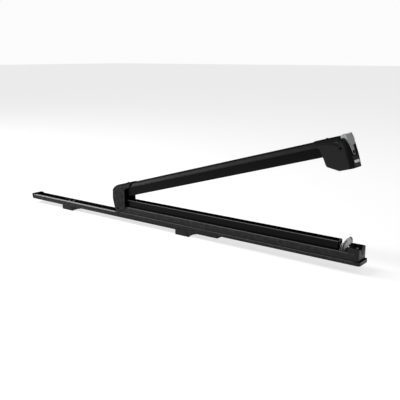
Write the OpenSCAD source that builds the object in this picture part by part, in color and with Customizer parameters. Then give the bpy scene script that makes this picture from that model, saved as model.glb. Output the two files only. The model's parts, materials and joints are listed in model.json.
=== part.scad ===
// Roof-bar ski carrier: a clamping arm on a carriage that slides out along a fixed rail.
// Millimetres. X runs along the rail, Y across it, Z up.
// The origin is midway between the two feet, on the plane they stand on.

/* [Rail and feet] */
// Length of the fixed rail
rail_l = 800; // [700:10:960]
// Width of the rail
rail_w = 38; // [34:0.5:40]
// Height of the rail
rail_h = 16; // [15:0.5:19]
// Wall of the rail
rail_wall = 2.4; // [2:0.1:3]
// Width of each inturned lip of the rail
rail_lip = 4.2; // [3.8:0.1:5]
// Distance between the middles of the two feet
foot_pitch = 494; // [400:2:560]
// From the rail's left end to the middle of the left foot
rail_tail = 181; // [120:1:220]
// Length of a foot along the rail
foot_l = 49; // [44:1:60]
// Height of a foot
foot_h = 14; // [12:0.5:18]
// Bolt hole in each foot for the roof bar's bolt
bar_hole_d = 6.6; // [5.5:0.1:8.4]

/* [Carriage] */
// Length of the sliding carriage's extrusion, with the body of its end cap
carriage_l = 796.3; // [700:0.1:960]
// How far the carriage slides out
travel = 397; // [300:1:460]
// Width of the carriage's body
body_w = 43.6; // [42:0.2:46]
// Width of the skirt that wraps the rail
skirt_w = 48; // [46.4:0.2:52]
// Height of the skirt
skirt_h = 9; // [8:0.5:10]
// Height of the body above the skirt
body_h = 18.8; // [17:0.1:22]
// Wall of the body
body_wall = 2.4; // [2:0.1:3]
// Width of both rubber pads
pad_w = 27; // [24:0.5:32]
// Height of the lower rubber pad
pad_h = 21; // [16:0.5:26]

/* [Arm] */
// Angle by which the arm stands open
arm_open = 16; // [8:0.5:40]
// From the carriage's left end to the hinge pin
pivot_in = 14.6; // [14:0.1:18]
// Width of the arm's extrusion
arm_w = 40; // [36:0.5:42]
// Underside of the arm's extrusion above the hinge pin
arm_base = 53.4; // [52:0.2:58]
// Height of the arm's extrusion
arm_h = 14.8; // [13:0.2:18]
// Wall of the arm's extrusion
arm_wall = 2.2; // [1.8:0.1:3]
// Width of the hinge bracket and of the latch housing
fitting_w = 48.8; // [48:0.2:54]
// Wall of the hinge bracket and of the latch housing
fitting_wall = 2.1; // [1.8:0.1:2.3]
// Diameter of the hinge pin
hinge_pin_d = 8; // [6:0.5:9]

/* [Latch] */
// How far the push button travels
press = 4; // [3:0.5:5]
// Thickness of the toothed catch
catch_t = 7; // [6:0.5:10]
// Number of notches in the catch
notches = 5; // [3:1:5]
// Diameter of the steel bar that drops into a notch
bar_d = 2.6; // [2:0.1:3]
// Diameter of the lock's plug
lock_d = 9; // [8:0.5:10]

/* [Hidden] */
$fn = 64;

eps = 0.01;
play = 0.4;          // sliding clearance between the carriage and the rail
seat = 0.15;         // clearance around a piece that is pushed into another
pin_play = 0.05;     // radial running clearance of a pin

// Rail section
floor_t = 2.6;
lip_t = 2.4;
slot_w = rail_w - 2 * (rail_wall + rail_lip);
channel_w = rail_w - 2 * rail_wall;
groove_z = 4;
groove_d = 1.2;
rail_chamfer = 2.9;
cap_l = 13;
cap_rise = 1.6;
cap_face = 3;
cap_out = 4.5;
cap_lean = 3.4;
plug_l = cap_l + 0.6;
rail_x0 = -foot_pitch / 2 - rail_tail;

// Foot hardware
foot_screw_pitch = 20;
foot_screw_d = 4;
plate_l = 34;
plate_w = 16;
plate_t = 1.5;
spacer_h = 6.5;

// Carriage section, heights measured from the underside of the rail
stow_gap = 1.2;
deck_z = rail_h + play;
skirt_z1 = deck_z + 2;
skirt_z0 = skirt_z1 - skirt_h;
body_z1 = skirt_z1 + body_h;
hollow_w = body_w - 2 * body_wall;
runner_w = channel_w - 4;
runner_neck_w = slot_w - 1.6;
runner_z1 = rail_h - lip_t - 0.6;
runner_groove_w = 16;
runner_groove_z = rail_h - 0.6;
ledge = 1.6;
line_h = 1.4;
line_d = 1.2;
glide_w = 5;
glide_t = 1.2;
glide_play = 0.2;
root_neck_w = 8;
root_head_w = 16;
root_neck_h = body_wall;
root_head_h = 3.2;
root_wall = 1.8;
cap_x0 = carriage_l - 10.3;
cap_flange = 5;
carriage_x = rail_x0 + cap_l + stow_gap + travel;

// Hinge
pivot_h = deck_z + 2 + 11.7;
knuckle_r = 11.2;
block_cut = pivot_in + 13;
cheek_gap = 0.5;
cheek_in = body_w / 2 + cheek_gap;
washer_t = 1.2;
bush_t = 1.5;
pin_r = hinge_pin_d / 2;
pin_recess = 1.5;

// Pads
pad_x0 = 45;
pad_x1 = carriage_l - 57.5;
pad_top = body_z1 + pad_h;
pad_meet = 0.4;
pad_round = 2.5;
arm_pad_low = pad_top - pivot_h + pad_meet;
arm_pad_h = arm_base - arm_pad_low;

// Arm, u along it and h above the hinge pin
arm_top = arm_base + arm_h;
fit_top = arm_top + 1.8;
fit_w = fitting_w / 2;
latch_end = carriage_l - pivot_in + 4.9;
latch_u0 = latch_end - 92.6;
arm_u0 = 22;
arm_u1 = latch_end - 41.6;
end_round = 8;
bracket_u1 = 64;
seam_lean = 9;
pad_u0 = 45;
pad_u1 = latch_end - 64.6;
guide_u = latch_end - 22.1;
guide_h = 41.3;
guide_d = 6;

// Catch, in the carriage's frame
catch_x = carriage_l - 49.3;
catch_z = deck_z + 11.1;
teeth_r = 42;
teeth_x = catch_x + 39;
teeth_z = catch_z + 7;
notch_r = bar_d / 2 + 0.4;
notch_step = 7;
hold_angle = 35.85;
hold_x = teeth_x - teeth_r * cos(hold_angle);
hold_z = teeth_z + teeth_r * sin(hold_angle);
hub_r = 5.2;
catch_pin_d = 5;
ear_t = 1.5;
ear_y = 10;

// Latch slider
slider_t = 1.5;
slider_y = 7;
bar_u = hold_x - pivot_in;
bar_h = hold_z - pivot_h;
lock_u = latch_end - 2;
lock_h = 27;
button_gap = 0.35;
spring_h = 57;
spring_u0 = latch_end - 36;
spring_u1 = latch_end - 17.6;

// ---------- placing and shaping helpers ----------
module rail_frame() translate([rail_x0, 0, foot_h]) children();
module carriage_frame() translate([carriage_x, 0, foot_h]) children();
module arm_frame()
    carriage_frame() translate([pivot_in, 0, pivot_h]) rotate([0, -arm_open, 0]) children();

// a section drawn in Y and Z, drawn out along X
module along_x(x0, x1) translate([x0, 0, 0]) rotate([90, 0, 90]) linear_extrude(x1 - x0) children();
// an outline drawn in X and Z, drawn out across Y
module across_y(w) rotate([90, 0, 0]) linear_extrude(w, center = true) children();
// an outline drawn in X and Y, drawn out along Z
module up_z(z0, z1) translate([0, 0, z0]) linear_extrude(z1 - z0) children();

// a block given by its lowest corner and its highest corner, and one centred on Y
module block(a, b) translate(a) cube(b - a);
module mid_block(x0, x1, w, z0, z1) block([x0, -w / 2, z0], [x1, w / 2, z1]);
module bar_2d(w, z0, z1) translate([-w / 2, z0]) square([w, z1 - z0]);

module pin_y(x, z, r, y0, y1) translate([x, y1, z]) rotate([90, 0, 0]) cylinder(r = r, h = y1 - y0);
module pin_z(x, y, r, z0, z1) translate([x, y, z0]) cylinder(r = r, h = z1 - z0);
module pin_x(y, z, r, x0, x1) translate([x0, y, z]) rotate([0, 90, 0]) cylinder(r = r, h = x1 - x0);
module both_sides() { children(); mirror([0, 1, 0]) children(); }

function arc(c, r, a0, a1, n = 12) =
    [for (i = [0 : n]) let (a = a0 + (a1 - a0) * i / n) c + r * [cos(a), sin(a)]];

// a pan-head screw that points down, its head standing on z
module screw_down(x, y, z, d, l) {
    pin_z(x, y, d, z, z + 0.7 * d);
    pin_z(x, y, d / 2 - pin_play, z - l, z);
}

// ---------- rail ----------
module chamfered_2d(w, z0, z1, c) polygon([[-w / 2, z0], [w / 2, z0], [w / 2, z1 - c],
    [w / 2 - c, z1], [-w / 2 + c, z1], [-w / 2, z1 - c]]);
module rail_section() difference() {
    chamfered_2d(rail_w, 0, rail_h, rail_chamfer);
    bar_2d(channel_w, floor_t, rail_h - lip_t);
    bar_2d(slot_w, floor_t, rail_h + 1);
    for (s = [-1, 1]) translate([s * (rail_w / 2 - groove_d / 2), groove_z + 0.6])
        square([groove_d + eps, 1.2], center = true);
}

module foot_places() for (s = [-1, 1]) translate([s * foot_pitch / 2, 0, 0]) children();
module foot_screw_places() for (s = [-1, 1]) translate([s * foot_screw_pitch / 2, 0, 0]) children();

module base_rail() color("#26282a") difference() {
    rail_frame() along_x(cap_face, rail_l) rail_section();
    foot_places() {
        pin_z(0, 0, bar_hole_d / 2, foot_h - 1, foot_h + floor_t + 1);
        foot_screw_places() pin_z(0, 0, foot_screw_d / 2 + pin_play, foot_h - 1, foot_h + floor_t + 1);
    }
    translate([stop_x + stop_l / 2, 0, 0]) pin_z(0, 0, 2, foot_h - 1, foot_h + floor_t + 1);
    rail_frame() pin_z(plug_l / 2 + 2, 0, 1.5, -1, floor_t + 1);
}

module rail_end_cap() color("#151617") rail_frame() difference() {
    union() {
        intersection() {
            across_y(rail_w) polygon([[cap_lean - cap_out, 0], [cap_l, 0], [cap_l, rail_h + cap_rise],
                [1.5 - cap_out, rail_h + cap_rise], [-cap_out, rail_h - 1], [-cap_out, rail_h - 3]]);
            union() {
                mid_block(-cap_out, cap_face, rail_w, 0, rail_h + cap_rise);
                mid_block(-cap_out, cap_l, rail_w, rail_h, rail_h + cap_rise);
            }
        }
        mid_block(cap_face, plug_l, channel_w - 2 * seat, floor_t, rail_h - lip_t - seat);
        mid_block(cap_face, cap_l, slot_w - 2 * seat, floor_t, rail_h + eps);
    }
    pin_z(plug_l / 2 + 2, 0, 1.5, -1, floor_t + 5);
}

// The stop stands in the channel and runs in a groove of the carriage's runner.
stop_l = 14;
stop_w = 15;
prong_w = 2.9;
carriage_stop_x0 = 3;
carriage_stop_x1 = 20;
stop_x = carriage_x + carriage_stop_x1 + 0.4;
module rail_stop() color("#b9bbbd") difference() {
    mid_block(stop_x, stop_x + stop_l, stop_w, foot_h + floor_t, foot_h + runner_groove_z - 0.5);
    translate([stop_x + stop_l / 2, 0, 0]) pin_z(0, 0, 2, foot_h, foot_h + floor_t + 6);
}
module stop_screw() color("#9a9c9e") translate([stop_x + stop_l / 2, 0, 0]) {
    pin_z(0, 0, 1.95, foot_h, foot_h + floor_t + 5.8);
    pin_z(0, 0, 3.2, foot_h - 1.6, foot_h);
}

module foot_shape() difference() {
    mid_block(-foot_l / 2, foot_l / 2, rail_w, 0, foot_h);
    pin_z(0, 0, bar_hole_d / 2, -1, foot_h + 1);
    foot_screw_places() pin_z(0, 0, foot_screw_d / 2 + pin_play, foot_h - 8, foot_h + 1);
    // moulded hollow and slanted notch at the right-hand end
    mid_block(foot_l / 2 - 4, foot_l / 2 + 1, rail_w - 14, -1, foot_h - 4);
    both_sides() translate([foot_l / 2 - 7, -rail_w / 2, 0]) across_notch();
    // ribs are left between the pockets of the underside
    for (x = [-18.5, 13]) both_sides() block([x, 6, -1], [x + 5.5, rail_w / 2 - 3, foot_h - 9.5]);
}
module across_notch() rotate([90, 0, 0]) linear_extrude(5, center = true)
    polygon([[0, foot_h - 1.5], [2.4, foot_h - 1.5], [6, 1.5], [3.6, 1.5]]);
module mounting_foot_left() color("#1f2022") translate([-foot_pitch / 2, 0, 0]) foot_shape();
module mounting_foot_right() color("#1f2022") translate([foot_pitch / 2, 0, 0]) foot_shape();

plate_z = foot_h + floor_t;
module clamp_plates() color("#c4c6c8") foot_places() difference() {
    union() {
        mid_block(-plate_l / 2, plate_l / 2, plate_w, plate_z, plate_z + plate_t);
        foot_screw_places() pin_z(0, 0, foot_screw_d, plate_z, plate_z + plate_t + spacer_h);
    }
    pin_z(0, 0, bar_hole_d / 2, plate_z - 1, plate_z + 3);
    foot_screw_places() pin_z(0, 0, foot_screw_d / 2 + pin_play, plate_z - 1, plate_z + 9);
}
module foot_screws() color("#d0d2d4") foot_places() foot_screw_places()
    screw_down(0, 0, plate_z + plate_t + spacer_h, foot_screw_d, floor_t + plate_t + spacer_h + 6);

// ---------- carriage ----------
module root_slot_2d(z, s) {
    bar_2d(root_neck_w + 2 * s, z - root_neck_h - eps, z + 1);
    bar_2d(root_head_w + 2 * s, z - root_neck_h - root_head_h - s, z - root_neck_h);
}
module carriage_section() difference() {
    union() {
        difference() {
            union() {
                chamfered_2d(body_w, skirt_z1 - eps, body_z1, ledge);
                chamfered_2d(skirt_w, skirt_z0, skirt_z1, 1);
            }
            // dark line between the skirt and the body
            for (s = [-1, 1]) translate([s * body_w / 2, skirt_z1 + line_h / 2])
                square([2 * line_d, line_h], center = true);
            bar_2d(rail_w + 2 * play, skirt_z0 - 1, deck_z);
        }
        bar_2d(runner_neck_w, runner_z1 - eps, deck_z + eps);
        bar_2d(runner_w, skirt_z0, runner_z1);
    }
    bar_2d(runner_groove_w, skirt_z0 - 1, runner_groove_z);
    difference() {
        bar_2d(hollow_w, deck_z + 3, body_z1 - body_wall);
        bar_2d(root_head_w + 2 * root_wall + 2 * seat,
               body_z1 - root_neck_h - root_head_h - seat - root_wall, body_z1);
    }
    root_slot_2d(body_z1, seat);
    for (s = [-1, 1]) translate([s * glide_y, deck_z + glide_t / 2 - glide_play - eps])
        square([glide_w + 2 * seat, glide_t + 2 * eps], center = true);
}
glide_y = rail_w / 2 - glide_w / 2 - 1.5;

pocket_x0 = pad_x1 + 1;
pocket_x1 = catch_x + 17;
pocket_w = 32;
module carriage_profile() color("#232527") carriage_frame() difference() {
    along_x(0, cap_x0) carriage_section();
    // the body is cut back where the hinge block sits
    mid_block(-1, block_cut, skirt_w + 2, skirt_z1, body_z1 + 1);
    // open pocket around the catch
    mid_block(pocket_x0, pocket_x1, pocket_w, deck_z + 3, body_z1 + 1);
    for (s = [-1, 1]) {
        pin_z(cap_screw_x, s * cap_screw_y, 1.75, body_z1 - body_wall - 1, body_z1 + 1);
        pin_z(block_screw_x, s * block_screw_y, 2.05, deck_z - 1, deck_z + 4);
    }
}
module glide_strips() color("#d8d6cc") carriage_frame() both_sides()
    block([1, glide_y - glide_w / 2, deck_z - glide_play],
          [cap_x0 - 1, glide_y + glide_w / 2, deck_z + glide_t - glide_play]);

module carriage_stop() color("#303234") carriage_frame() both_sides()
    block([carriage_stop_x0, runner_groove_w / 2 - prong_w, skirt_z0 + 0.2],
          [carriage_stop_x1, runner_groove_w / 2, runner_groove_z]);

// A hollow rubber bar with rounded crown corners and a T-shaped root; the root is below z = 0.
module pad_section(h) difference() {
    union() {
        bar_2d(pad_w, 0, h - pad_round);
        bar_2d(pad_w - 2 * pad_round, 0, h);
        for (s = [-1, 1]) translate([s * (pad_w / 2 - pad_round), h - pad_round]) circle(pad_round);
        bar_2d(root_neck_w, -root_neck_h - eps, eps);
        bar_2d(root_head_w, -root_neck_h - root_head_h, -root_neck_h);
    }
    for (s = [-1, 1]) translate([s * pad_w * 0.235, h / 2]) square([pad_w * 0.34, h - 7], center = true);
}
module lower_pad() color("#101112") carriage_frame() translate([0, 0, body_z1])
    along_x(pad_x0, pad_x1) pad_section(pad_h);

block_screw_x = block_cut + 8;
block_screw_y = 13;
module hinge_block() color("#2b2d2f") carriage_frame() difference() {
    union() {
        pin_y(pivot_in, pivot_h, knuckle_r, -body_w / 2, body_w / 2);
        mid_block(pivot_in - knuckle_r, block_cut, body_w, skirt_z1, pivot_h);
        mid_block(block_cut - eps, block_cut + 16, hollow_w - 2 * seat, deck_z + 3, deck_z + 11);
        mid_block(pivot_in, block_cut, body_w, pivot_h - 1, body_z1 - 1);
    }
    pin_y(pivot_in, pivot_h, pin_r + pin_play + bush_t + pin_play, -body_w, body_w);
    both_sides() pin_y(pivot_in, pivot_h, washer_r + seat, body_w / 2 - 1, body_w / 2 + 1);
    for (s = [-1, 1]) pin_z(block_screw_x, s * block_screw_y, 2.05, deck_z, deck_z + 9);
}
washer_r = pin_r + 3.8;
module hinge_bushes() color("#e2dfd2") carriage_frame() both_sides() difference() {
    pin_y(pivot_in, pivot_h, pin_r + pin_play + bush_t, 4, body_w / 2 - 1.1);
    pin_y(pivot_in, pivot_h, pin_r + pin_play, 3, body_w);
}
module hinge_washers() color("#e2dfd2") carriage_frame() both_sides() difference() {
    pin_y(pivot_in, pivot_h, washer_r, body_w / 2 - 1, body_w / 2 - 1 + washer_t);
    pin_y(pivot_in, pivot_h, pin_r + 0.3, 3, body_w);
}
module block_screws() color("#9a9c9e") carriage_frame() for (s = [-1, 1]) {
    pin_z(block_screw_x, s * block_screw_y, 2, deck_z + 3 - glide_t, deck_z + 8.8);
}

// A rubber buffer on the cross wall stops the catch when it swings back
buffer_h = 2.6;
// End cap: a flange at skirt height, a face above it and two walls with a notch between them
cap_wall = 3;
cap_top = body_z1 + 12.3;
cap_wall_x0 = carriage_l - 28.3;
cap_r = 5.6;
notch_low = 6;
notch_top = 31;
notch_z = body_z1 - 5.4;
cap_screw_x = cap_wall_x0 + 9;
cap_screw_y = 14.6;
module plan_end(x0, x1, w, r) union() {
    translate([x0, -w / 2]) square([x1 - r - x0, w]);
    translate([x0, -w / 2 + r]) square([x1 - x0, w - 2 * r]);
    for (s = [-1, 1]) translate([x1 - r, s * (w / 2 - r)]) circle(r);
}
module carriage_end_cap() color("#2a2b2d") carriage_frame() difference() {
    union() {
        intersection() {
            up_z(skirt_z0, skirt_z1) plan_end(0, carriage_l + cap_flange, skirt_w, cap_r + 1);
            mid_block(cap_x0, carriage_l + 20, skirt_w, 0, 80);
        }
        intersection() {
            up_z(skirt_z1 - eps, body_z1) plan_end(0, carriage_l, body_w, cap_r);
            mid_block(cap_x0, carriage_l + 20, skirt_w, 0, 80);
        }
        intersection() {
            up_z(body_z1 - eps, cap_top) plan_end(0, carriage_l, body_w, cap_r);
            across_y(skirt_w) polygon(concat(
                [[cap_wall_x0, body_z1], [carriage_l, body_z1]],
                arc([carriage_l - 3, cap_top - 3], 3, 0, 90, 8),
                arc([cap_wall_x0 + 2, cap_top - 2], 2, 90, 180, 6)));
            difference() {
                mid_block(0, carriage_l + 1, skirt_w, 0, 80);
                mid_block(0, carriage_l - 6, body_w - 2 * cap_wall, body_z1 + 2, 80);
            }
        }
        mid_block(cap_x0 - 12, cap_x0 + eps, hollow_w - 2 * seat, deck_z + 3, deck_z + 11);
        // cross wall behind the catch, and a guard that runs on beside it on the far side
        mid_block(cap_wall_x0, cap_wall_x0 + 4, body_w - 2 * cap_wall + eps, body_z1, cap_top);
        block([catch_x + 7, body_w / 2 - cap_wall, body_z1], [cap_wall_x0 + 4, body_w / 2, cap_top]);
    }
    // room for the rail's end when the carriage is pushed home
    mid_block(cap_x0 - 1, carriage_l - 5.8, rail_w + 2 * play, 0, deck_z);
    // rounded notch in the face
    face_notch();
    for (s = [-1, 1]) pin_z(cap_screw_x, s * cap_screw_y, 1.75, body_z1 - 1, body_z1 + 3);
}
module catch_buffer() color("#0c0c0d") carriage_frame() intersection() {
    mid_block(cap_wall_x0 + 0.4, cap_wall_x0 + 4.4, 10, cap_top, cap_top + buffer_h);
    across_y(12) polygon([[cap_wall_x0, cap_top], [cap_wall_x0 + 6, cap_top],
                          [cap_wall_x0 + 4.2, cap_top + buffer_h], [cap_wall_x0 + 2.4, cap_top + buffer_h]]);
}
module face_notch() along_x(cap_x0 - 1, carriage_l + 2)
    polygon([[-notch_low / 2, notch_z], [notch_low / 2, notch_z], [notch_top / 2, cap_top + eps],
             [-notch_top / 2, cap_top + eps]]);
module end_cap_screws() color("#8f9193") carriage_frame() for (s = [-1, 1])
    screw_down(cap_screw_x, s * cap_screw_y, body_z1 + 2, 3.4, 4.2);

// ---------- catch ----------
module catch_bracket() color("#a8aaac") carriage_frame() difference() {
    union() {
        mid_block(catch_x - 8, catch_x + 12, 2 * (ear_y + ear_t), deck_z + 3, deck_z + 4.5);
        both_sides() block([catch_x - 6, ear_y, deck_z + 3], [catch_x + 6, ear_y + ear_t, catch_z + 5]);
    }
    pin_y(catch_x, catch_z, catch_pin_d / 2 + pin_play, -20, 20);
}
module catch_pin() color("#c0c2c4") carriage_frame()
    pin_y(catch_x, catch_z, catch_pin_d / 2, -ear_y - ear_t - 1, ear_y + ear_t + 1);

// Torsion spring: two round turns on the pin, then a flat eye with a long narrow loop of wire
coil_y0 = -catch_t / 2 - 1.2;
coil_pitch = 1.35;
wire_r = 0.6;
coil_r = catch_pin_d / 2 + 0.5 + wire_r;
loop_low = [catch_x - 3.2, catch_z + 9.5];
loop_high = [catch_x + 0.6, catch_z + 22.5];
loop_half = 2.5;
loop_lean = atan2(loop_high[1] - loop_low[1], loop_high[0] - loop_low[0]);
module loop_2d(r) union() {
    translate(loop_low) circle(r);
    translate(loop_high) circle(r);
    translate(loop_low) rotate(loop_lean) translate([0, -r]) square([norm(loop_high - loop_low), 2 * r]);
}
module catch_spring() color("#a2a4a6") carriage_frame() {
    for (i = [0, 2]) translate([catch_x, coil_y0 - i * coil_pitch, catch_z]) rotate([90, 0, 0])
        rotate_extrude() translate([coil_r, 0]) circle(wire_r, $fn = 24);
    translate([0, coil_y0 - coil_pitch, 0]) across_y(2 * wire_r) {
        difference() {
            union() {
                translate([catch_x, catch_z]) circle(coil_r + wire_r);
                polygon([[catch_x - 3.2, catch_z + 2.4], [catch_x - 1.8, catch_z + 3.4],
                         [loop_low[0] + 1, loop_low[1] - 2], [loop_low[0] - 0.4, loop_low[1] - 2]]);
                loop_2d(loop_half);
            }
            translate([catch_x, catch_z]) circle(coil_r - wire_r);
            loop_2d(loop_half - 2 * wire_r);
        }
    }
}

module catch_outline() difference() {
    union() {
        polygon(concat(
            [[catch_x - 4.6, catch_z + 1.5], [catch_x + 4.6, catch_z + 2], [catch_x + 10, catch_z + 14]],
            arc([catch_x + 12, catch_z + 33], 11, -12, 65, 12),
            arc([teeth_x, teeth_z], teeth_r, 125, 171, 20)));
        translate([catch_x, catch_z]) circle(hub_r);
    }
    for (i = [0 : notches - 1]) let (a = hold_angle + notch_step * (1 - i))
        translate([teeth_x - teeth_r * cos(a), teeth_z + teeth_r * sin(a)]) circle(notch_r);
    translate([catch_x, catch_z]) circle(catch_pin_d / 2 + pin_play);
}
rivet_in = 4.2;
rivet_r = 1.5;
module rivet_places() for (i = [0 : notches - 1]) let (a = hold_angle + notch_step * (0.5 - i))
    translate([teeth_x - (teeth_r - rivet_in) * cos(a), teeth_z + (teeth_r - rivet_in) * sin(a)])
        children();
module toothed_catch() color("#b4b7b9") carriage_frame() across_y(catch_t) difference() {
    catch_outline();
    rivet_places() circle(rivet_r + pin_play);
}
// Dark rivets beside the notches hold the catch's plates together
module catch_rivets() color("#101011") carriage_frame() across_y(catch_t + 0.8)
    rivet_places() circle(rivet_r);

// ---------- arm ----------
bevel_in = 6;
bevel_up = 6;
module crown_2d(w, z0, z1, i, bev_in, bev_z) {
    // square shoulders, a bevel and a rounded crown, all inset by i
    crown_half = w / 2 - bev_in;
    chord_z = bev_z + bevel_up;
    rise = z1 - chord_z;
    r = (crown_half * crown_half + rise * rise) / (2 * rise);
    low = chord_z - 0.5 * i;
    half = sqrt((r - i) * (r - i) - (low - z1 + r) * (low - z1 + r));
    polygon([[-w / 2 + i, z0], [w / 2 - i, z0], [w / 2 - i, bev_z], [half, low],
             [-half, low], [-w / 2 + i, bev_z]]);
    intersection() {
        translate([0, z1 - r]) circle(r - i, $fn = 256);
        translate([-half - 1, low - eps]) square([2 * half + 2, rise + 2]);
    }
}
module arm_outer_2d(s = 0) crown_2d(arm_w + 2 * s, arm_base - s, arm_top + s, 0, bevel_in, arm_base + 2.6);
module arm_section() difference() {
    arm_outer_2d();
    difference() {
        crown_2d(arm_w, arm_base + arm_wall, arm_top, arm_wall, bevel_in, arm_base + 2.6);
        bar_2d(root_head_w + 2 * root_wall, arm_base,
               arm_base + root_neck_h + root_head_h + root_wall + seat);
    }
    translate([0, 2 * arm_base]) mirror([0, 1]) root_slot_2d(arm_base, seat);
}
module arm_profile() color("#2a2c2e") arm_frame() difference() {
    along_x(arm_u0, arm_u1) arm_section();
    for (u = plug_places) pin_z(u, 0, 2.3, arm_top - 8, arm_top + 1);
    pin_z(plug_places[0], 0, 4.1, arm_top - 0.75, arm_top + 1);
}
module upper_pad() color("#101112") arm_frame() translate([0, 0, arm_base]) mirror([0, 0, 1])
    along_x(pad_u0, pad_u1) pad_section(arm_pad_h);

// Section shared by the hinge bracket and the latch housing, with an inset for their inner faces
module fitting_2d(i, z0) crown_2d(fitting_w, z0, fit_top, i, 7.4, arm_base + 4.6);

bracket_lean = [-16, 8];
bracket_left = -7;
bracket_corner_r = 10;
bracket_bulge_r = 138;
module bracket_outline() polygon(concat(
    [[31, 1], [20, -7.6], [8, -10.6]],
    arc([0, 0], knuckle_r, 280, 200, 10),
    arc([bracket_bulge_r - 16.1, 2.4], bracket_bulge_r, 177.6, 157.5, 6),
    arc([bracket_left + bracket_corner_r, fit_top - bracket_corner_r], bracket_corner_r, 160, 90, 12),
    [[bracket_u1 + seam_lean, fit_top], [bracket_u1, arm_base + 0.6], [52, arm_base]],
    arc([52, arm_base - 10], 10, 90, 168, 8)));
module bracket_cavity() union() {
    across_y(2 * cheek_in) {
        polygon([[bracket_lean[0] + 2.7, 8], [bracket_left + 2.7, 49], [40, 49],
                 [40, arm_base], [90, arm_base], [90, -30], [-30, -30], [-30, 8]]);
        circle(knuckle_r + 0.9);
    }
}
module hinge_bracket() color("#262829") arm_frame() difference() {
    intersection() {
        across_y(fitting_w + 2) bracket_outline();
        along_x(-30, 90) fitting_2d(0, -20);
        up_z(-20, 80) mirror([1, 0]) plan_end(-90, -bracket_lean[0] + 0.2, fitting_w, 4.5);
    }
    bracket_cavity();
    along_x(8, 90) arm_outer_2d(seat);
    pin_y(0, 0, pin_r + 0.03, -40, 40);
    pin_z(plug_places[2], 0, 2.3, arm_top, fit_top + 5);
    pin_z(plug_places[2], 0, 4.1, fit_top - 0.75, fit_top + 5);
}
module hinge_pin() color("#0d0d0e") arm_frame() pin_y(0, 0, pin_r, -fit_w + pin_recess, fit_w - pin_recess);

// Collar where the arm enters the latch housing, and domed plugs over the fixing screws
collar_l = 4;
module arm_collar() color("#4a4c4e") arm_frame() difference() {
    along_x(latch_u0 - collar_l, latch_u0 - 0.1)
        crown_2d(arm_w + 2.4, arm_base, arm_top + 0.9, 0, bevel_in, arm_base + 3);
    along_x(latch_u0 - collar_l - 1, latch_u0 + 1) arm_outer_2d(seat);
    mid_block(latch_u0 - collar_l - 1, latch_u0 + 1, arm_w, arm_base - 1, arm_base + 1);
}
plug_places = [bracket_u1 + 13, latch_u0 + 31, bracket_u1 - 19];
plug_seats = [arm_top, fit_top, fit_top];
module top_plugs() color("#55575a") arm_frame() for (i = [0 : len(plug_places) - 1]) {
    intersection() {
        translate([plug_places[i], 0, plug_seats[i] - 5.2]) sphere(6.6);
        pin_z(plug_places[i], 0, 4, plug_seats[i] - 0.7, plug_seats[i] + 3);
    }
    pin_z(plug_places[i], 0, 2.2, arm_top - 6, plug_seats[i] + 0.1);
}

// ---------- latch housing ----------
end_r = 20;
end_low = 5;
module housing_outline(i) {
    c = [latch_end - 5.8 - end_r, fit_top - end_r];
    polygon(concat(
        [[latch_u0 - 20, fit_top - i]],
        arc(c, end_r - i, 90, 8, 12),
        [[latch_end - i, end_low], [latch_end - i, -40], [latch_u0 - 20, -40]]));
}
module housing_trim() polygon(concat(
    [[latch_u0, fit_top + 10], [latch_end + 10, fit_top + 10], [latch_end + 10, -9.4],
     [latch_end - 34.6, -9.4], [latch_end - 38, -8.4], [latch_end - 64, 4.8], [latch_end - 66.6, 8],
     [latch_end - 69, 24]],
    arc([latch_end - 83, arm_base - 10], 10, -6, 90, 10),
    [[latch_u0, arm_base]]));
module fitting_end(i) intersection() {
    across_y(fitting_w + 2) housing_outline(i);
    along_x(latch_u0 - 10, latch_end + 2) fitting_2d(i, -40);
    up_z(-40, fit_top + 10) plan_end(0, latch_end - i, fitting_w - 2 * i, end_round - i);
}
// the button's outline on the end face: wide at the top, round at the lock
tip_r = 6.8;
button_top_half = 17.5;
module button_2d(s) union() {
    polygon([[-tip_r - s, lock_h], [tip_r + s, lock_h], [tip_r + 3 + s, lock_h + 16],
             [button_top_half + s, fit_top - 12], [button_top_half + s, fit_top + 20],
             [-button_top_half - s, fit_top + 20], [-button_top_half - s, fit_top - 12],
             [-tip_r - 3 - s, lock_h + 16]]);
    translate([0, lock_h]) circle(tip_r + s);
}
panel_w = 31;
panel_z0 = -6.5;
panel_z1 = 18;
module panel_2d(s) bar_2d(panel_w + 2 * s, panel_z0 - s, panel_z1 + s);
panel_t = 1;
button_u0 = latch_end - 19.6;
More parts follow.
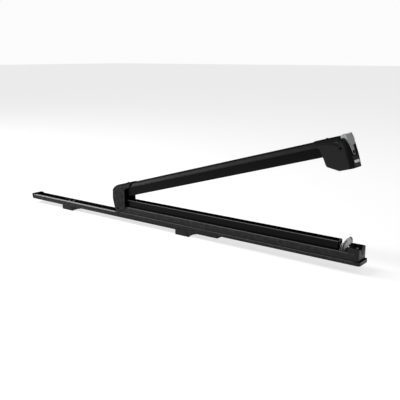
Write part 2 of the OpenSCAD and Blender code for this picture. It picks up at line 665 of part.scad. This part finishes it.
// The bezel closes the housing's end; its edge runs up the side and bends over towards the hinge.
bezel_u = latch_end - 9.6;
module bezel_2d(s) polygon(concat(
    [[latch_end + 10, -20], [bezel_u + s, -20], [bezel_u + s, 0], [bezel_u - 2 + s, 22]],
    arc([bezel_u - 17, 43], 15 + s, 0, 90, 10),
    [[bezel_u - 17, fit_top + 10], [latch_end + 10, fit_top + 10]]));
module housing_shape() difference() {
    intersection() {
        fitting_end(0);
        across_y(fitting_w + 2) housing_trim();
    }
    // cavity below and behind the arm's extrusion
    difference() {
        fitting_end(fitting_wall);
        mid_block(latch_u0 - 30, arm_u1 + 1.6, fitting_w, arm_base, fit_top + 5);
        // web that the button's spring pushes on
        mid_block(arm_u1 + 1.6, spring_u0 - 0.1, fitting_w, arm_base - 4, fit_top + 5);
    }
    along_x(latch_u0 - 30, arm_u1 + 0.2) arm_outer_2d(seat);
    mid_block(latch_u0 - 30, latch_end - 40, arm_w - 2, arm_base - 1, arm_base + 1);
    along_x(button_u0 - press - 0.4, latch_end + 5) button_2d(button_gap);
    difference() {
        along_x(latch_end - 12, latch_end + 5) panel_2d(seat);
        fitting_end(panel_t);
    }
    pin_y(guide_u, guide_h, guide_d / 2 + 0.03, -40, 40);
    both_sides() pin_y(guide_u, guide_h, guide_d / 2 + 1.6, fit_w - 1.2, fit_w + 1);
    pin_z(plug_places[1], 0, 2.3, arm_top, fit_top + 5);
    pin_z(plug_places[1], 0, 4.1, fit_top - 0.75, fit_top + 5);
    for (h = screw_heights) both_sides() pin_y(screw_u, h, 1.6, cheek_in - 3, fit_w + 2);
}
module latch_housing() color("#28292b") arm_frame() difference() {
    housing_shape();
    across_y(fitting_w + 2) bezel_2d(0);
}
module end_bezel() color("#141516") arm_frame() intersection() {
    housing_shape();
    across_y(fitting_w + 2) bezel_2d(seat);
}
module guide_pin() color("#0d0d0e") arm_frame()
    pin_y(guide_u, guide_h, guide_d / 2, -fit_w + 1.3, fit_w - 1.3);
module end_panel() color("#3a3b3d") arm_frame() intersection() {
    difference() {
        fitting_end(0.05);
        fitting_end(panel_t);
    }
    along_x(latch_end - 12, latch_end + 5) panel_2d(0);
}
badge_w = 25;
badge_h = 6.5;
badge_z = 8.6;
module blank_badge() color("#c9c9c6") arm_frame()
    mid_block(latch_end - 0.05, latch_end + 0.75, badge_w, badge_z - badge_h, badge_z - 0.2);

// countersunk screws on the far side, into the arm's extrusion
screw_u = arm_u1 - 9;
screw_heights = [arm_base + 1.6];
module housing_screws() color("#1a1b1c") arm_frame() for (h = screw_heights) both_sides()
    pin_y(screw_u, h, 1.55, arm_w / 2 + seat + 0.05, fit_w - 0.6);

module button_spring() color("#b0b2b4") arm_frame() {
    turns = 10;
    r = 3.6;
    w = 0.5;
    gap = (spring_u1 - spring_u0 - 2 * w - 0.4) / (turns - 1);
    for (i = [0 : turns - 1]) translate([spring_u0 + 0.2 + w + i * gap, 0, spring_h]) rotate([0, 90, 0])
        rotate_extrude() translate([r, 0]) circle(w, $fn = 24);
}

// ---------- button, slider and lock ----------
thumb_rise = 2;
module thumb_2d() polygon([[latch_end - 7, fit_top - 26], [latch_end - 0.4, fit_top - 26],
    [latch_end - 2.2, fit_top - 14], [latch_end - 4.5, fit_top - 4], [latch_end - 6.5, fit_top + thumb_rise],
    [latch_end - 12, fit_top + thumb_rise], [button_u0 + 0.6, fit_top - 1], [button_u0 + 0.6, fit_top - 8],
    [latch_end - 14, fit_top - 8], [latch_end - 10, fit_top - 12]]);
module push_button() color("#b6babd") arm_frame() difference() {
    union() {
        intersection() {
            difference() {
                fitting_end(0.1);
                fitting_end(5);
            }
            along_x(button_u0, latch_end + 5) button_2d(0);
        }
        // thumb rest that fills the housing's rounded corner and stands a little above it
        intersection() {
            across_y(2 * button_top_half) thumb_2d();
            along_x(button_u0, latch_end + 5) button_2d(0);
        }
        // back of the button, which the spring and the slider meet
        mid_block(spring_u1 + 0.2, latch_end - 12, 14, lock_h + 4, fit_top - 8);
        pin_x(0, lock_h, tip_r - 0.4, latch_end - 16, latch_end - 3);
    }
    pin_x(0, lock_h, lock_d / 2 + pin_play, latch_end - 30, latch_end + 5);
    // room for the guide pin when the button is pushed home
    mid_block(spring_u1, guide_u + guide_d / 2 + press + 0.5, fitting_w,
              guide_h - guide_d / 2 - 0.5, guide_h + guide_d / 2 + 0.5);
    // finger scoop in the crown
    translate([latch_end - 7, 0, fit_top + 15.6]) rotate([0, 90, 0]) cylinder(r = 18, h = 30, center = true);
}

slider_web = latch_end - 17.4;
module slider_plate_2d() difference() {
    union() {
        translate([bar_u - 4, bar_h - 3]) square([12, 7]);
        translate([bar_u + 5, bar_h - 3]) square([slider_web - bar_u - 5 + eps, guide_h - bar_h + 8]);
    }
    translate([bar_u, bar_h]) circle(bar_d / 2 + 0.03);
    translate([guide_u, guide_h]) circle(guide_d / 2 + 0.2);
    translate([guide_u + press, guide_h]) circle(guide_d / 2 + 0.2);
    translate([guide_u, guide_h - guide_d / 2 - 0.2]) square([press, guide_d + 0.4]);
}
module latch_slider() color("#9fa2a4") arm_frame() {
    both_sides() translate([0, slider_y + slider_t / 2, 0]) across_y(slider_t) slider_plate_2d();
    difference() {
        mid_block(slider_web - 1.6, slider_web, 2 * (slider_y + slider_t), bar_h - 3, guide_h - 5);
        pin_x(0, lock_h, lock_d / 2 + 1, slider_web - 5, slider_web + 5);
    }
}
module latch_bar() color("#c2c4c6") arm_frame()
    pin_y(bar_u, bar_h, bar_d / 2, -slider_y - slider_t - 1, slider_y + slider_t + 1);

module lock_cylinder() color("#8d9092") arm_frame() difference() {
    pin_x(0, lock_h, lock_d / 2, latch_end - 15.5, lock_u);
    block([lock_u - 5, -0.8, lock_h - 3.4], [lock_u + 1, 0.8, lock_h + 3.4]);
}
module lock_cam() color("#a8abad") arm_frame() {
    pin_x(0, lock_h, lock_d / 2 - 1.5, latch_end - 21.6, latch_end - 15.5);
    block([latch_end - 21.6, -2.2, lock_h - 6.4], [latch_end - 20, 2.2, lock_h + eps]);
}

base_rail();
rail_end_cap();
rail_stop();
stop_screw();
mounting_foot_left();
mounting_foot_right();
clamp_plates();
foot_screws();
carriage_profile();
glide_strips();
carriage_stop();
lower_pad();
hinge_block();
hinge_bushes();
hinge_washers();
block_screws();
carriage_end_cap();
end_cap_screws();
catch_bracket();
catch_pin();
catch_spring();
catch_buffer();
toothed_catch();
catch_rivets();
arm_profile();
upper_pad();
hinge_bracket();
hinge_pin();
arm_collar();
top_plugs();
latch_housing();
end_bezel();
guide_pin();
end_panel();
blank_badge();
housing_screws();
button_spring();
push_button();
latch_slider();
latch_bar();
lock_cylinder();
lock_cam();
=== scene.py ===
"""Looks of a roof-bar ski carrier: materials, softened edges, floor, light and camera.

Everything is in metres in the CAD frame: X along the rail towards the latch, Y across it, Z up.
Every shape comes from the CAD nodes; this script adds no piece of its own to the object.
"""

import json
import math

import bpy
from mathutils import Matrix, Vector


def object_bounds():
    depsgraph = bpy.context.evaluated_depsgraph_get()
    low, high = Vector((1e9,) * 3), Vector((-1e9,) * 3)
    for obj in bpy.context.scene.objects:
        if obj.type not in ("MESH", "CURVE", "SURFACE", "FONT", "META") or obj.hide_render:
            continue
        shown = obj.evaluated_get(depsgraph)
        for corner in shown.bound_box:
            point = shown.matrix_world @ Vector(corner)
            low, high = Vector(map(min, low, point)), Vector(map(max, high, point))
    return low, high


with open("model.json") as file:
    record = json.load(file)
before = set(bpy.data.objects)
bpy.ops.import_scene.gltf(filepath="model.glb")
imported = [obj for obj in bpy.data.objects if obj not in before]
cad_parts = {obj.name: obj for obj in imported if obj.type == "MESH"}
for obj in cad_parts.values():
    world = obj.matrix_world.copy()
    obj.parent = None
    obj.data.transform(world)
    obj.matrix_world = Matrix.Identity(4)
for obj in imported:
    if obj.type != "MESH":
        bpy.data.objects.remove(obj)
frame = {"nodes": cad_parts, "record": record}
cad_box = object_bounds()

MM = 0.001
WHITE = (1.0, 1.0, 1.0, 1.0)
MIDDLE = (Vector(cad_box[0]) + Vector(cad_box[1])) / 2

# The photograph's viewing angle, worked out from the object's straight edges: the camera's place,
# its turn about Z and its dip below level in radians, and its focal length in millimetres
CAMERA_AT = Vector((1.3139, -1.3099, 0.4996))
CAMERA_YAW = 0.6596
CAMERA_DOWN = 0.2318
CAMERA_LENS = 54.92
CAMERA_SENSOR = 36.0
CAMERA_REACH = 100.0

# Depth of each kind of relief in metres
GRAIN_DEPTH = 0.00012
PIT_DEPTH = 0.00015
LINE_DEPTH = 0.0001

# Texture scales. A stretched scale is small along the piece and large across it.
EVEN = (1.0, 1.0, 1.0)
DRAWN_METAL = (3.0, 260.0, 260.0)
DRAWN_RUBBER = (4.0, 500.0, 500.0)
BRUSHED_METAL = (60.0, 900.0, 900.0)

# Most of a noise texture's values lie in this range
NOISE_RANGE = (0.3, 0.7)

# Pointiness at which an edge begins to count as worn, and at which it counts fully
EDGE_POINTINESS = (0.52, 0.62)
# The normal's Z where a shoulder begins at the wall side, and where it ends at the top side
SHOULDER_RISE = (0.2, 0.45)
SHOULDER_FALL = (0.8, 0.95)

SCUFF_GREY = 0.07
# How much brighter than the surface its dust is
DUST_GAIN = 1.9

ARM_TILT = math.radians(16.0)


# ---------- materials ----------
class Nodes:
    """Short calls for building one material's node tree."""

    def __init__(self, name):
        self.material = bpy.data.materials.new(name)
        self.material.use_nodes = True
        self.tree = self.material.node_tree
        self.shader = self.tree.nodes["Principled BSDF"]
        self.coords = self.add("ShaderNodeTexCoord")

    def add(self, kind, **settings):
        node = self.tree.nodes.new(kind)
        for key, value in settings.items():
            setattr(node, key, value)
        return node

    def link(self, source, target):
        self.tree.links.new(source, target)

    def feed(self, **sources):
        """Link sockets to the shader's inputs of those names."""
        for key, source in sources.items():
            self.link(source, self.shader.inputs[key.replace("_", " ")])

    def set(self, **values):
        """Give the shader's inputs of those names a constant."""
        for key, value in values.items():
            self.shader.inputs[key.replace("_", " ")].default_value = value

    def mapped(self, scale, tilt=0.0):
        """Object coordinates, turned by tilt about Y and scaled."""
        mapping = self.add("ShaderNodeMapping", vector_type="POINT")
        mapping.inputs["Rotation"].default_value = (0.0, tilt, 0.0)
        mapping.inputs["Scale"].default_value = scale
        self.link(self.coords.outputs["Object"], mapping.inputs["Vector"])
        return mapping.outputs["Vector"]

    def noise(self, vector, scale, detail=4.0, roughness=0.55):
        node = self.add("ShaderNodeTexNoise")
        node.inputs["Scale"].default_value = scale
        node.inputs["Detail"].default_value = detail
        node.inputs["Roughness"].default_value = roughness
        self.link(vector, node.inputs["Vector"])
        return node.outputs["Fac"]

    def spread(self, value, low, high, out_low, out_high):
        """value from low..high onto out_low..out_high, clamped."""
        node = self.add("ShaderNodeMapRange", clamp=True)
        for name, number in zip(
            ("From Min", "From Max", "To Min", "To Max"), (low, high, out_low, out_high)
        ):
            node.inputs[name].default_value = number
        self.link(value, node.inputs["Value"])
        return node.outputs["Result"]

    def vary(self, noise, out_low, out_high):
        """A noise's usual range onto out_low..out_high."""
        return self.spread(noise, *NOISE_RANGE, out_low, out_high)

    def times(self, first, second):
        node = self.add("ShaderNodeMath", operation="MULTIPLY")
        self.link(first, node.inputs[0])
        self.link(second, node.inputs[1])
        return node.outputs[0]

    def blend(self, factor, first, second):
        """Two colours mixed by factor. Each colour is a tuple or a socket."""
        node = self.add("ShaderNodeMix", data_type="RGBA")
        self.link(factor, node.inputs["Factor"])
        # Sockets 6 and 7 are the two colours; the lower ones are for numbers and vectors
        for socket, colour in ((node.inputs[6], first), (node.inputs[7], second)):
            if isinstance(colour, tuple):
                socket.default_value = (*colour, 1.0)
            else:
                self.link(colour, socket)
        return node.outputs[2]

    def mottled(self, noise, level, contrast, tint=0.0):
        """A grey that drifts with noise by contrast to either side of level."""
        return self.blend(
            self.vary(noise, 0.0, 1.0),
            grey(level * (1.0 - contrast), tint),
            grey(level * (1.0 + contrast), tint),
        )

    def bump(self, height, strength, distance, below=None):
        node = self.add("ShaderNodeBump")
        node.inputs["Strength"].default_value = strength
        node.inputs["Distance"].default_value = distance
        self.link(height, node.inputs["Height"])
        if below is not None:
            self.link(below, node.inputs["Normal"])
        return node.outputs["Normal"]

    def edge_mask(self):
        """1 along convex edges, 0 elsewhere."""
        geometry = self.add("ShaderNodeNewGeometry")
        return self.spread(geometry.outputs["Pointiness"], *EDGE_POINTINESS, 0.0, 1.0)

    def shoulder_mask(self):
        """1 on faces that slope halfway between upright and level, 0 on walls and tops."""
        split = self.add("ShaderNodeSeparateXYZ")
        self.link(self.add("ShaderNodeNewGeometry").outputs["Normal"], split.inputs["Vector"])
        return self.times(
            self.spread(split.outputs["Z"], *SHOULDER_RISE, 0.0, 1.0),
            self.spread(split.outputs["Z"], *SHOULDER_FALL, 1.0, 0.0),
        )


def grey(level, tint=0.0):
    """A neutral linear colour, a little blue for a positive tint."""
    return (level * (1.0 - tint), level, level * (1.0 + tint))


def coated_metal(name, level, roughness, grain, tilt=0.0, worn=0.25, shine=0.21, shoulder_highlight=0.0):
    """Powder-coated or anodised black metal, with faint draw lines along the extrusion.

    worn is how far the edges go grey, and the last argument is the lighter grey of a painted
    highlight on the sloping shoulders.
    """
    m = Nodes(name)
    plain = m.mapped(EVEN)
    clouds = m.noise(plain, 9.0)
    lines = m.noise(m.mapped(DRAWN_METAL, tilt), 6.0, detail=3.0)
    speck = m.noise(plain, 2600.0, detail=2.0)
    dust = m.spread(speck, 0.64, 0.74, 0.0, 0.35)
    colour = m.blend(dust, m.mottled(clouds, level, 0.12, 0.02), grey(level * DUST_GAIN, 0.01))
    patches = m.spread(m.noise(plain, 90.0), 0.42, 0.66, 0.0, worn)
    colour = m.blend(m.times(m.edge_mask(), patches), colour, grey(SCUFF_GREY, 0.02))
    # Painted highlight: faces that slope between wall and top are blended to a lighter grey
    if shoulder_highlight:
        colour = m.blend(m.shoulder_mask(), colour, grey(shoulder_highlight, 0.01))
    m.feed(
        Base_Color=colour,
        Roughness=m.vary(clouds, roughness - 0.015, roughness + 0.02),
        Normal=m.bump(lines, grain * 0.25, LINE_DEPTH, below=m.bump(speck, grain, GRAIN_DEPTH)),
    )
    m.set(Metallic=0.0, IOR=1.5, Specular_IOR_Level=shine)
    return m.material


def moulded_plastic(name, level, roughness, grain, gloss=0.0, tint=0.02, shine=0.24):
    """Glass-filled plastic with a spark-eroded grain."""
    m = Nodes(name)
    plain = m.mapped(EVEN)
    clouds = m.noise(plain, 30.0)
    pits = m.noise(plain, 1500.0, detail=3.0, roughness=0.65)
    wear = m.spread(m.edge_mask(), 0.0, 1.0, 0.0, 0.3)
    m.feed(
        Base_Color=m.blend(
            wear, m.mottled(clouds, level, 0.15, tint), grey(level * 2.0 + 0.003, tint)
        ),
        Roughness=m.vary(clouds, roughness - 0.02, roughness + 0.03),
        Normal=m.bump(pits, grain, PIT_DEPTH),
    )
    m.set(
        Metallic=0.0,
        IOR=1.49,
        Specular_IOR_Level=shine,
        Coat_Weight=gloss,
        Coat_Roughness=0.12,
    )
    return m.material


def moulded_rubber(name, level, roughness, shoulder_highlight):
    """Extruded rubber: matt, with fine draw lines, a little bloom and a painted highlight on its
    sloping top edges.
    """
    m = Nodes(name)
    plain = m.mapped(EVEN)
    clouds = m.noise(plain, 14.0)
    bloom = m.noise(plain, 120.0, detail=5.0)
    lines = m.noise(m.mapped(DRAWN_RUBBER), 4.0, detail=2.0)
    dust = m.spread(bloom, 0.55, 0.8, 0.0, 0.4)
    colour = m.blend(dust, m.mottled(clouds, level, 0.2), grey(level * DUST_GAIN))
    pores = m.bump(m.noise(plain, 2200.0, detail=2.0), 0.07, GRAIN_DEPTH)
    m.feed(
        # Painted highlight along the rounded top edges: sloping faces blend to a lighter grey
        Base_Color=m.blend(m.shoulder_mask(), colour, grey(shoulder_highlight)),
        Roughness=m.vary(bloom, roughness - 0.03, roughness + 0.04),
        Normal=m.bump(lines, 0.05, LINE_DEPTH, below=pores),
    )
    m.set(Metallic=0.0, IOR=1.5, Specular_IOR_Level=0.09)
    return m.material


def bright_metal(name, level, roughness, streak):
    """Plated steel or cast zinc, faintly brushed and a little stained."""
    m = Nodes(name)
    lines = m.noise(m.mapped(BRUSHED_METAL), 3.0, detail=3.0)
    stains = m.noise(m.mapped(EVEN), 130.0, detail=5.0)
    m.feed(
        Base_Color=m.blend(
            m.spread(stains, 0.35, 0.7, 0.0, 1.0),
            grey(level * 0.78, 0.01),
            grey(level * 1.08, 0.01),
        ),
        Roughness=m.vary(lines, roughness - 0.07, roughness + 0.09),
        Normal=m.bump(lines, streak, LINE_DEPTH),
    )
    m.set(Metallic=0.6)
    return m.material


# One material for each of the record's material slots
MATERIALS = {
    # The anodised black and the pad rubber carry a small painted highlight on their sloping
    # shoulders
    "black_aluminium": coated_metal("anodised_black", 0.0035, 0.36, 0.2, shoulder_highlight=0.03),
    "black_casting": coated_metal("cast_black", 0.0032, 0.4, 0.3, shine=0.17),
    "black_plastic": moulded_plastic("moulded_black", 0.0035, 0.36, 0.3),
    "gloss_panel": moulded_plastic("panel_grey", 0.03, 0.3, 0.12, gloss=0.2),
    "rubber": moulded_rubber("pad_rubber", 0.0012, 0.3, shoulder_highlight=0.1),
    "steel": bright_metal("plated_steel", 0.7, 0.3, 0.25),
    "dark_steel": coated_metal("blackened_steel", 0.006, 0.34, 0.15, worn=0.1),
    "oxide_steel": coated_metal("oxide_black", 0.0012, 0.55, 0.1, worn=0.05, shine=0.04),
    "zinc": bright_metal("cast_zinc", 0.38, 0.4, 0.3),
    "silver_plastic": moulded_plastic("silver_lacquer", 0.30, 0.34, 0.08, gloss=0.2, shine=0.5),
    "white_plastic": moulded_plastic("white_acetal", 0.62, 0.4, 0.15, tint=-0.02, shine=0.4),
    "pale_plastic": moulded_plastic(
        "pale_plate", 0.55, 0.35, 0.1, gloss=0.3, tint=0.0, shine=0.4
    ),
    # Painted shade: the end bezel is a darker, duller copy of the black plastic, standing in for
    # the shade on the rounded end band
    "bezel_plastic": moulded_plastic("bezel_black_painted_shade", 0.002, 0.45, 0.35, shine=0.1),
}
# Nodes whose finish differs from the rest of their slot: the rail's sloping lips get a stronger
# painted highlight, and the arm's draw lines follow its tilt
OWN_MATERIALS = {
    "base_rail": coated_metal("anodised_black_rail", 0.0035, 0.36, 0.2, shoulder_highlight=0.2),
    "arm_profile": coated_metal("anodised_black_arm", 0.0035, 0.36, 0.2, tilt=ARM_TILT),
}

# ---------- softened edges on the CAD nodes ----------
# Nodes by the width of their edge rounding in millimetres; the others keep their edges
EDGE_WIDTHS = {
    0.15: ("end_panel",),
    0.2: (
        "arm_collar", "blank_badge", "catch_bracket", "catch_rivets", "latch_slider",
        "lock_cam", "lock_cylinder",
    ),
    0.25: ("clamp_plates", "end_cap_screws", "foot_screws"),
    0.3: ("catch_buffer", "guide_pin", "lower_pad", "rail_stop", "upper_pad"),
    0.35: ("base_rail", "toothed_catch"),
    0.4: ("arm_profile", "carriage_profile", "hinge_pin", "push_button"),
    0.5: ("hinge_block",),
    0.6: ("end_bezel", "latch_housing"),
    0.7: (
        "carriage_end_cap", "hinge_bracket", "mounting_foot_left", "mounting_foot_right",
        "rail_end_cap",
    ),
}
EDGE = {name: width for width, names in EDGE_WIDTHS.items() for name in names}
BEVEL_STEPS = 2
SHARP = math.radians(32.0)
WELD_DISTANCE = 1e-6
FACE_AREA_WEIGHT = 80


def soften(obj, width):
    """Weld the imported seams, round the edges and shade smoothly between them."""
    for polygon in obj.data.polygons:
        polygon.use_smooth = True
    weld = obj.modifiers.new("weld", "WELD")
    weld.merge_threshold = WELD_DISTANCE
    if width:
        bevel = obj.modifiers.new("edge", "BEVEL")
        bevel.width = width * MM
        bevel.segments = BEVEL_STEPS
        bevel.limit_method = "ANGLE"
        bevel.angle_limit = SHARP
        bevel.use_clamp_overlap = True
        bevel.harden_normals = False
    normals = obj.modifiers.new("normals", "WEIGHTED_NORMAL")
    normals.keep_sharp = True
    normals.weight = FACE_AREA_WEIGHT


slots = {part["node"]: part["material_slot"] for part in frame["record"]["subparts"]}
for node_name, node in frame["nodes"].items():
    material = OWN_MATERIALS.get(node_name, MATERIALS[slots[node_name]])
    node.data.materials.clear()
    node.data.materials.append(material)
    soften(node, EDGE.get(node_name, 0.0))


# ---------- stage, light and camera ----------
FLOOR_SIZE = 60.0
# Just under the feet, so that the floor shares no face with them
FLOOR_HEIGHT = -0.0005
# A floor that glows a little keeps the shadows as pale as the photograph's
FLOOR_GLOW = 0.72


def plane(name, height, size, material):
    """A level square about the origin."""
    half = size / 2
    signs = ((-1, -1), (1, -1), (1, 1), (-1, 1))
    mesh = bpy.data.meshes.new(name)
    mesh.from_pydata([(x * half, y * half, height) for x, y in signs], [], [(0, 1, 2, 3)])
    mesh.materials.append(material)
    obj = bpy.data.objects.new(name, mesh)
    bpy.context.collection.objects.link(obj)
    return obj


def floor_material():
    m = Nodes("pale_floor")
    clouds = m.noise(m.mapped(EVEN), 0.8)
    m.feed(Base_Color=m.blend(clouds, grey(0.40), grey(0.42)))
    m.set(
        Roughness=0.9,
        Specular_IOR_Level=0.1,
        Emission_Color=WHITE,
        Emission_Strength=FLOOR_GLOW,
    )
    return m.material


floor = plane("floor", FLOOR_HEIGHT, FLOOR_SIZE, floor_material())


def strip_light(name, direction, distance, size, power):
    """A soft panel facing the middle of the object from direction, its long side level with X."""
    data = bpy.data.lights.new(name, "AREA")
    data.shape = "RECTANGLE"
    data.size, data.size_y = size
    data.energy = power
    back = Vector(direction).normalized()
    along = (Vector((1.0, 0.0, 0.0)) - back.x * back).normalized()
    obj = bpy.data.objects.new(name, data)
    obj.location = MIDDLE + distance * back
    obj.rotation_euler = Matrix((along, back.cross(along), back)).transposed().to_euler()
    bpy.context.collection.objects.link(obj)


def sun(name, direction, strength, softness):
    """Parallel light from direction, with penumbras of that many degrees."""
    data = bpy.data.lights.new(name, "SUN")
    data.energy = strength
    data.angle = math.radians(softness)
    obj = bpy.data.objects.new(name, data)
    obj.rotation_euler = Vector(direction).to_track_quat("Z", "Y").to_euler()
    bpy.context.collection.objects.link(obj)


sun("main_light", direction=(0.62, -0.25, 0.74), strength=0.8, softness=80.0)
# Stands where the slanting edges mirror it, so they show as thin bright lines
strip_light(
    "edge_light", direction=(-0.58, -0.41, 0.70), distance=3.0, size=(3.6, 0.9), power=95.0
)

# Height of a direction where the glow begins to fade and where the ceiling begins, and the
# strength of each
GLOW_FADE = (0.14, 0.22)
GLOW_STRENGTH = (0.97, 0.05)


def studio_world():
    """A bright band at the horizon behind the floor, and a dim ceiling above it."""
    world = bpy.data.worlds.new("studio")
    world.use_nodes = True
    tree = world.node_tree
    coords = tree.nodes.new("ShaderNodeTexCoord")
    split = tree.nodes.new("ShaderNodeSeparateXYZ")
    ramp = tree.nodes.new("ShaderNodeMapRange")
    ramp.interpolation_type = "SMOOTHSTEP"
    ramp.inputs["From Min"].default_value, ramp.inputs["From Max"].default_value = GLOW_FADE
    ramp.inputs["To Min"].default_value, ramp.inputs["To Max"].default_value = GLOW_STRENGTH
    background = tree.nodes["Background"]
    background.inputs["Color"].default_value = WHITE
    tree.links.new(coords.outputs["Generated"], split.inputs["Vector"])
    tree.links.new(split.outputs["Z"], ramp.inputs["Value"])
    tree.links.new(ramp.outputs["Result"], background.inputs["Strength"])
    bpy.context.scene.world = world
    # The level black faces would mirror the horizon and turn grey
    world.cycles_visibility.glossy = False


studio_world()

camera_data = bpy.data.cameras.new("camera")
camera_data.lens = CAMERA_LENS
camera_data.sensor_width = CAMERA_SENSOR
camera_data.clip_end = CAMERA_REACH
camera = bpy.data.objects.new("camera", camera_data)
camera.location = CAMERA_AT
camera.rotation_euler = (math.pi / 2 - CAMERA_DOWN, 0.0, CAMERA_YAW)
bpy.context.collection.objects.link(camera)
bpy.context.scene.camera = camera
bpy.context.scene.view_settings.view_transform = "Standard"
